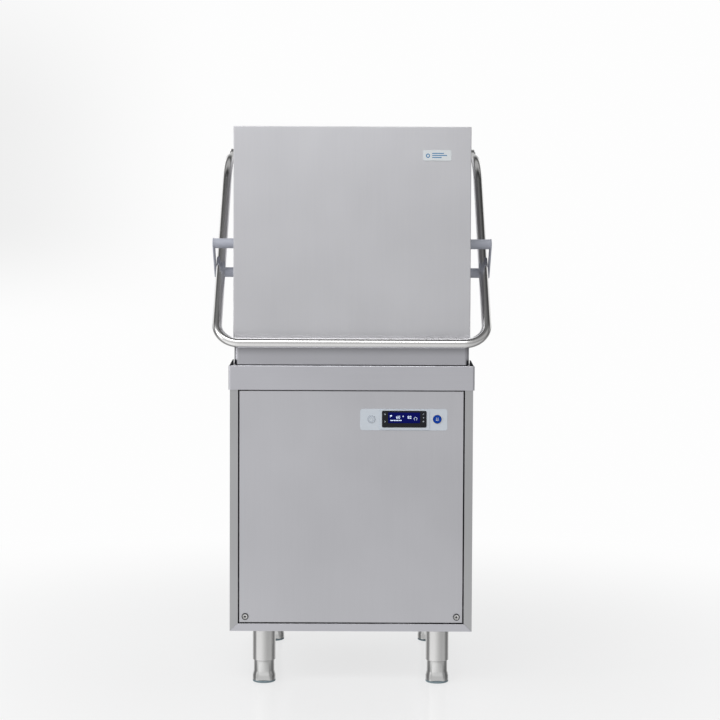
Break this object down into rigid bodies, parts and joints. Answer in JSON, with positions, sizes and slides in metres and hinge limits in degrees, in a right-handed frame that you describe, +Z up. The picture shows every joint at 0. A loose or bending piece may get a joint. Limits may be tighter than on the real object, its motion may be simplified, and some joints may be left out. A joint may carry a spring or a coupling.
{
  "type": "hood glass washer",
  "caption": "Pass-through hood glass washer: steel cabinet on adjustable feet, lifting hood with bent-tube lever, spray arms and control panel.",
  "frame": {"origin": "on the floor, under the middle of the bounding box", "axes": "+X to the right, +Y to the rear, +Z up; the control panel faces -Y"},
  "size_m": [0.734, 0.7498, 1.452],
  "materials": {
    "brushed_steel": "satin brushed stainless sheet",
    "front_steel": "fine vertical-grain stainless sheet",
    "tube_steel": "semi-bright stainless tube",
    "grey_plastic": "moulded glass-filled plastic",
    "fascia_plastic": "pale grey fascia film",
    "black_plastic": "black plastic",
    "screen": "blue backlit display",
    "blue_plastic": "blue moulded button",
    "white_plastic": "white enamelled plate",
    "foot_rubber": "blue-grey rubber",
    "cast_motor": "dark painted casting",
    "circuit_board": "green laminate with parts"
  },
  "bodies": {
    "cabinet": {"base_frame": "brushed_steel", "left_side_panel": "brushed_steel", "right_side_panel": "brushed_steel", "rear_panel": "brushed_steel", "front_panel": "front_steel", "panel_screw_left": "tube_steel", "panel_screw_right": "tube_steel", "worktop": "brushed_steel", "corner_wedge_left": "black_plastic", "corner_wedge_right": "black_plastic", "wash_tank": "brushed_steel", "tank_filter": "brushed_steel", "sump_filter": "brushed_steel", "overflow_pipe": "grey_plastic", "tank_element": "tube_steel", "rack_guide": "brushed_steel", "lower_spindle": "grey_plastic", "upper_spindle": "grey_plastic", "wash_riser": "tube_steel", "splash_back": "brushed_steel", "pump_volute": "grey_plastic", "pump_motor": "cast_motor", "rinse_boiler": "brushed_steel", "drain_pump": "black_plastic", "doser_unit": "white_plastic", "electrical_box": "brushed_steel", "control_board": "circuit_board", "control_fascia": "fascia_plastic", "display_bezel": "black_plastic", "display_screen": "screen", "rear_column": "brushed_steel", "column_cover": "brushed_steel", "leg_front_left": "tube_steel", "leg_front_right": "tube_steel", "leg_rear_left": "tube_steel", "leg_rear_right": "tube_steel", "guide_rail_left": "brushed_steel", "spring_left": "tube_steel", "guide_rail_right": "brushed_steel", "spring_right": "tube_steel"},
    "hood": {"hood_shell": "brushed_steel", "hood_jacket": "front_steel", "badge": "white_plastic", "hood_bracket_left": "grey_plastic", "hood_bracket_right": "grey_plastic", "hood_carriage_left": "black_plastic", "hood_carriage_right": "black_plastic"},
    "handle": {"handle_tube": "tube_steel", "pivot_shaft": "tube_steel"},
    "wash_arm_low": {"lower_wash_arm": "brushed_steel"},
    "rinse_arm_low": {"lower_rinse_arm": "tube_steel"},
    "wash_arm_high": {"upper_wash_arm": "brushed_steel"},
    "rinse_arm_high": {"upper_rinse_arm": "tube_steel"},
    "impeller": {"pump_impeller": "tube_steel"},
    "power_key": {"power_button": "fascia_plastic"},
    "start_key": {"start_button": "blue_plastic"},
    "foot_front_left_body": {"foot_front_left": "foot_rubber"},
    "foot_front_right_body": {"foot_front_right": "foot_rubber"},
    "foot_rear_left_body": {"foot_rear_left": "foot_rubber"},
    "foot_rear_right_body": {"foot_rear_right": "foot_rubber"}
  },
  "joints": [
    {"name": "hood_lift", "type": "slide", "parent": "cabinet", "child": "hood", "axis": [0, 0, 1], "range_m": [0, 0.42]},
    {"name": "handle_swing", "type": "hinge", "parent": "cabinet", "child": "handle", "pos_m": [0, 0.3, 1.4297], "axis": [-1, 0, 0], "range_deg": [0, 41], "deforming": ["spring_left", "spring_right"]},
    {"name": "lower_wash_spin", "type": "hinge", "parent": "cabinet", "child": "wash_arm_low", "pos_m": [0, -0.034, 0.804], "axis": [0, 0, 1], "continuous": true},
    {"name": "lower_rinse_spin", "type": "hinge", "parent": "cabinet", "child": "rinse_arm_low", "pos_m": [0, -0.034, 0.828], "axis": [0, 0, 1], "continuous": true},
    {"name": "upper_wash_spin", "type": "hinge", "parent": "cabinet", "child": "wash_arm_high", "pos_m": [0, -0.034, 1.344], "axis": [0, 0, 1], "continuous": true},
    {"name": "upper_rinse_spin", "type": "hinge", "parent": "cabinet", "child": "rinse_arm_high", "pos_m": [0, -0.034, 1.318], "axis": [0, 0, 1], "continuous": true},
    {"name": "impeller_spin", "type": "hinge", "parent": "cabinet", "child": "impeller", "pos_m": [-0.085, -0.034, 0.4], "axis": [1, 0, 0], "continuous": true},
    {"name": "power_press", "type": "slide", "parent": "cabinet", "child": "power_key", "axis": [0, 1, 0], "range_m": [0, 0.0015], "stiffness_N_per_m": 600, "springref_m": -0.0015},
    {"name": "start_press", "type": "slide", "parent": "cabinet", "child": "start_key", "axis": [0, 1, 0], "range_m": [0, 0.0015], "stiffness_N_per_m": 600, "springref_m": -0.0015},
    {"name": "level_front_left", "type": "slide", "parent": "cabinet", "child": "foot_front_left_body", "axis": [0, 0, 1], "range_m": [0, 0.03]},
    {"name": "level_front_right", "type": "slide", "parent": "cabinet", "child": "foot_front_right_body", "axis": [0, 0, 1], "range_m": [0, 0.03]},
    {"name": "level_rear_left", "type": "slide", "parent": "cabinet", "child": "foot_rear_left_body", "axis": [0, 0, 1], "range_m": [0, 0.03]},
    {"name": "level_rear_right", "type": "slide", "parent": "cabinet", "child": "foot_rear_right_body", "axis": [0, 0, 1], "range_m": [0, 0.03]}
  ],
  "couplings": [
    {"joint": "handle_swing", "follows": "hood_lift", "rad_per_m": 1.7017}
  ]
}
